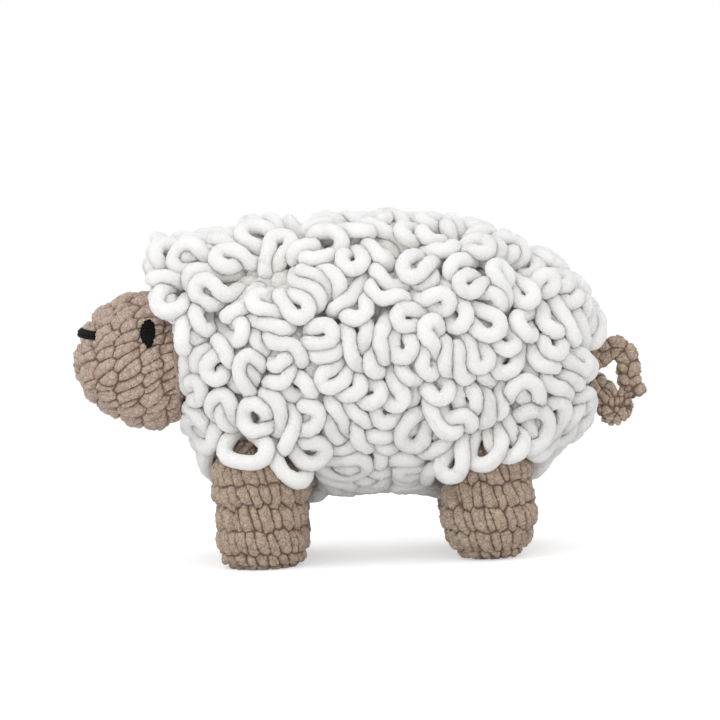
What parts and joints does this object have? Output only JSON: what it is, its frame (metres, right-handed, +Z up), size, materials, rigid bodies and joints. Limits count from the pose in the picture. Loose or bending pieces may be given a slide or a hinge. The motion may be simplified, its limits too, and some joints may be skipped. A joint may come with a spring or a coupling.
{
  "type": "plush sheep",
  "caption": "Crocheted stuffed toy sheep with a white looped body, a tan head, legs and looped tail, and black stitched eyes and nose.",
  "frame": {"origin": "on the floor, under the middle of the whole toy's bounding box", "axes": "+X towards the tail, +Y towards the toy's right side, +Z up; the head points to -X"},
  "size_m": [0.286, 0.134, 0.174],
  "materials": {
    "white_chenille": "matte",
    "tan_chenille": "matte",
    "black_yarn": "matte",
    "filling": "matte"
  },
  "bodies": {
    "torso": {"body_cover": "white_chenille", "body_stuffing": "filling", "fleece": "white_chenille"},
    "neck": {"neck_seam": "tan_chenille"},
    "head": {"head_cover": "tan_chenille", "head_stuffing": "filling", "left_eye": "black_yarn", "right_eye": "black_yarn", "nose_stitch": "black_yarn"},
    "tail_root": {"tail_seam": "tan_chenille"},
    "tail": {"tail_strap": "tan_chenille"},
    "front_left_hip": {"front_left_leg_seam": "tan_chenille"},
    "front_left_leg": {"front_left_leg_cover": "tan_chenille", "front_left_leg_stuffing": "filling"},
    "front_right_hip": {"front_right_leg_seam": "tan_chenille"},
    "front_right_leg": {"front_right_leg_cover": "tan_chenille", "front_right_leg_stuffing": "filling"},
    "hind_left_hip": {"hind_left_leg_seam": "tan_chenille"},
    "hind_left_leg": {"hind_left_leg_cover": "tan_chenille", "hind_left_leg_stuffing": "filling"},
    "hind_right_hip": {"hind_right_leg_seam": "tan_chenille"},
    "hind_right_leg": {"hind_right_leg_cover": "tan_chenille", "hind_right_leg_stuffing": "filling"}
  },
  "joints": [
    {"name": "head_turn", "type": "hinge", "parent": "torso", "child": "neck", "pos_m": [-0.10697, 0, 0.1025], "axis": [0, 0, 1], "range_deg": [-20, 20], "stiffness_Nm_per_rad": 0.25},
    {"name": "head_nod", "type": "hinge", "parent": "neck", "child": "head", "pos_m": [-0.10697, 0, 0.1025], "axis": [0, 1, 0], "range_deg": [-15, 15], "stiffness_Nm_per_rad": 0.25},
    {"name": "tail_wag", "type": "hinge", "parent": "torso", "child": "tail_root", "pos_m": [0.10824, 0, 0.089], "axis": [0, 0, 1], "range_deg": [-12, 12], "stiffness_Nm_per_rad": 0.02},
    {"name": "tail_lift", "type": "hinge", "parent": "tail_root", "child": "tail", "pos_m": [0.10824, 0, 0.089], "axis": [0, -1, 0], "range_deg": [-10, 10], "stiffness_Nm_per_rad": 0.02},
    {"name": "front_left_swing", "type": "hinge", "parent": "torso", "child": "front_left_hip", "pos_m": [-0.05197, -0.028, 0.04201], "axis": [0, 1, 0], "range_deg": [-15, 15], "stiffness_Nm_per_rad": 0.2},
    {"name": "front_left_splay", "type": "hinge", "parent": "front_left_hip", "child": "front_left_leg", "pos_m": [-0.05197, -0.028, 0.04201], "axis": [-1, 0, 0], "range_deg": [-5, 12], "stiffness_Nm_per_rad": 0.2},
    {"name": "front_right_swing", "type": "hinge", "parent": "torso", "child": "front_right_hip", "pos_m": [-0.05197, 0.028, 0.04201], "axis": [0, 1, 0], "range_deg": [-15, 15], "stiffness_Nm_per_rad": 0.2},
    {"name": "front_right_splay", "type": "hinge", "parent": "front_right_hip", "child": "front_right_leg", "pos_m": [-0.05197, 0.028, 0.04201], "axis": [1, 0, 0], "range_deg": [-5, 12], "stiffness_Nm_per_rad": 0.2},
    {"name": "hind_left_swing", "type": "hinge", "parent": "torso", "child": "hind_left_hip", "pos_m": [0.06053, -0.028, 0.04255], "axis": [0, 1, 0], "range_deg": [-15, 15], "stiffness_Nm_per_rad": 0.2},
    {"name": "hind_left_splay", "type": "hinge", "parent": "hind_left_hip", "child": "hind_left_leg", "pos_m": [0.06053, -0.028, 0.04255], "axis": [-1, 0, 0], "range_deg": [-5, 12], "stiffness_Nm_per_rad": 0.2},
    {"name": "hind_right_swing", "type": "hinge", "parent": "torso", "child": "hind_right_hip", "pos_m": [0.06053, 0.028, 0.04255], "axis": [0, 1, 0], "range_deg": [-15, 15], "stiffness_Nm_per_rad": 0.2},
    {"name": "hind_right_splay", "type": "hinge", "parent": "hind_right_hip", "child": "hind_right_leg", "pos_m": [0.06053, 0.028, 0.04255], "axis": [1, 0, 0], "range_deg": [-5, 12], "stiffness_Nm_per_rad": 0.2}
  ]
}
